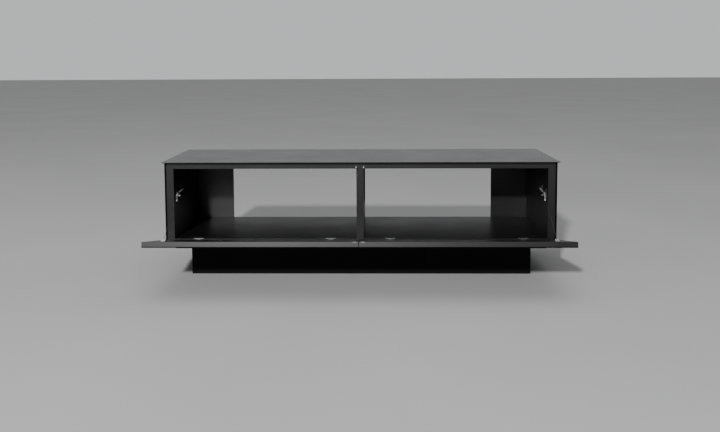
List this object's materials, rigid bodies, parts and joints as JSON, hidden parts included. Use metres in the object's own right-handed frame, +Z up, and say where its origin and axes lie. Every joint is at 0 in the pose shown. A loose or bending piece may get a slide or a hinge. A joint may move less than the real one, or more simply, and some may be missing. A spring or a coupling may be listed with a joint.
{
  "type": "media cabinet",
  "caption": "Low, wide media cabinet with drop-down doors on cable stays, open-backed bays, a thin overhanging top plate and a recessed black plinth.",
  "frame": {"origin": "on the floor, under the middle of the carcass's width and depth", "axes": "+X to the right along the cabinet, -Y to the front, +Z up"},
  "size_m": [1.614, 0.7894, 0.477],
  "materials": {
    "plate_graphite": "satin",
    "board_graphite": "satin",
    "skin_black": "satin",
    "plinth_black": "matte",
    "beech": "matte",
    "nylon_black": "matte",
    "zinc_steel": "satin",
    "cable_steel": "satin",
    "brass": "satin",
    "chrome": "polished"
  },
  "bodies": {
    "carcass": {"top_plate": "plate_graphite", "top_panel": "board_graphite", "bottom_panel": "board_graphite", "divider": "board_graphite", "side_panel_left": "board_graphite", "side_panel_right": "board_graphite", "side_cladding_left": "skin_black", "side_cladding_right": "skin_black", "back_panel_left": "board_graphite", "back_panel_right": "board_graphite", "dowels": "beech", "base_board": "plinth_black", "base_screws": "zinc_steel", "plinth_front": "plinth_black", "plinth_back_board": "plinth_black", "plinth_centre": "plinth_black", "plinth_side_left": "plinth_black", "plinth_side_right": "plinth_black", "foot_sockets": "nylon_black", "levelling_feet": "zinc_steel", "hinge_body_left_outer": "chrome", "hinge_body_left_inner": "chrome", "hinge_body_right_inner": "chrome", "hinge_body_right_outer": "chrome", "carcass_screws": "zinc_steel", "latch_housing_left": "nylon_black", "latch_housing_right": "nylon_black", "stay_tube_left": "chrome", "stay_tube_right": "chrome", "stay_front_mount_left": "nylon_black", "stay_front_mount_right": "nylon_black", "stay_rear_mount_left": "nylon_black", "stay_rear_mount_right": "nylon_black", "stay_axle_left": "chrome", "stay_axle_right": "chrome"},
    "door_left": {"door_board_left": "board_graphite", "door_skin_left": "skin_black", "strike_left": "chrome", "hinge_cup_left_outer": "chrome", "hinge_cup_left_inner": "chrome", "hinge_pins_left": "zinc_steel", "door_screws_left": "zinc_steel", "stay_bracket_left": "chrome"},
    "door_right": {"door_board_right": "board_graphite", "door_skin_right": "skin_black", "strike_right": "chrome", "hinge_cup_right_outer": "chrome", "hinge_cup_right_inner": "chrome", "hinge_pins_right": "zinc_steel", "door_screws_right": "zinc_steel", "stay_bracket_right": "chrome"},
    "stay_arm_left": {"stay_guide_left": "chrome", "stay_cable_left": "cable_steel"},
    "stay_arm_right": {"stay_guide_right": "chrome", "stay_cable_right": "cable_steel"},
    "latch_plunger_left": {"latch_plunger_left": "chrome"},
    "latch_plunger_right": {"latch_plunger_right": "chrome"},
    "stay_piston_left": {"stay_piston_left": "brass"},
    "stay_piston_right": {"stay_piston_right": "brass"}
  },
  "joints": [
    {"name": "door_left_hinge", "type": "hinge", "parent": "carcass", "child": "door_left", "pos_m": [-0.4, -0.2413, 0.145], "axis": [-1, 0, 0], "range_deg": [0, 78.3]},
    {"name": "door_right_hinge", "type": "hinge", "parent": "carcass", "child": "door_right", "pos_m": [0.4, -0.2413, 0.145], "axis": [-1, 0, 0], "range_deg": [0, 78.3]},
    {"name": "stay_left_swivel", "type": "hinge", "parent": "carcass", "child": "stay_arm_left", "pos_m": [-0.754, -0.202, 0.334], "axis": [-1, 0, 0], "range_deg": [0, 39.15], "deforming": ["stay_cable_left"]},
    {"name": "stay_right_swivel", "type": "hinge", "parent": "carcass", "child": "stay_arm_right", "pos_m": [0.754, -0.202, 0.334], "axis": [-1, 0, 0], "range_deg": [0, 39.15], "deforming": ["stay_cable_right"]},
    {"name": "stay_left_piston_slide", "type": "slide", "parent": "carcass", "child": "stay_piston_left", "axis": [0, 0.9969, 0.0785], "range_m": [0, 0.0597]},
    {"name": "stay_right_piston_slide", "type": "slide", "parent": "carcass", "child": "stay_piston_right", "axis": [0, 0.9969, 0.0785], "range_m": [0, 0.0597]},
    {"name": "latch_left_plunger_slide", "type": "slide", "parent": "carcass", "child": "latch_plunger_left", "axis": [0, 1, 0], "range_m": [0, 0.03005]},
    {"name": "latch_right_plunger_slide", "type": "slide", "parent": "carcass", "child": "latch_plunger_right", "axis": [0, 1, 0], "range_m": [0, 0.03005]}
  ],
  "couplings": [
    {"joint": "stay_left_swivel", "follows": "door_left_hinge", "ratio": 0.5},
    {"joint": "stay_right_swivel", "follows": "door_right_hinge", "ratio": 0.5},
    {"joint": "stay_left_piston_slide", "follows": "door_left_hinge", "m_per_rad": 0.043612},
    {"joint": "stay_right_piston_slide", "follows": "door_right_hinge", "m_per_rad": 0.043612},
    {"joint": "latch_left_plunger_slide", "follows": "door_left_hinge", "m_per_rad": 0.021952},
    {"joint": "latch_right_plunger_slide", "follows": "door_right_hinge", "m_per_rad": 0.021952}
  ]
}
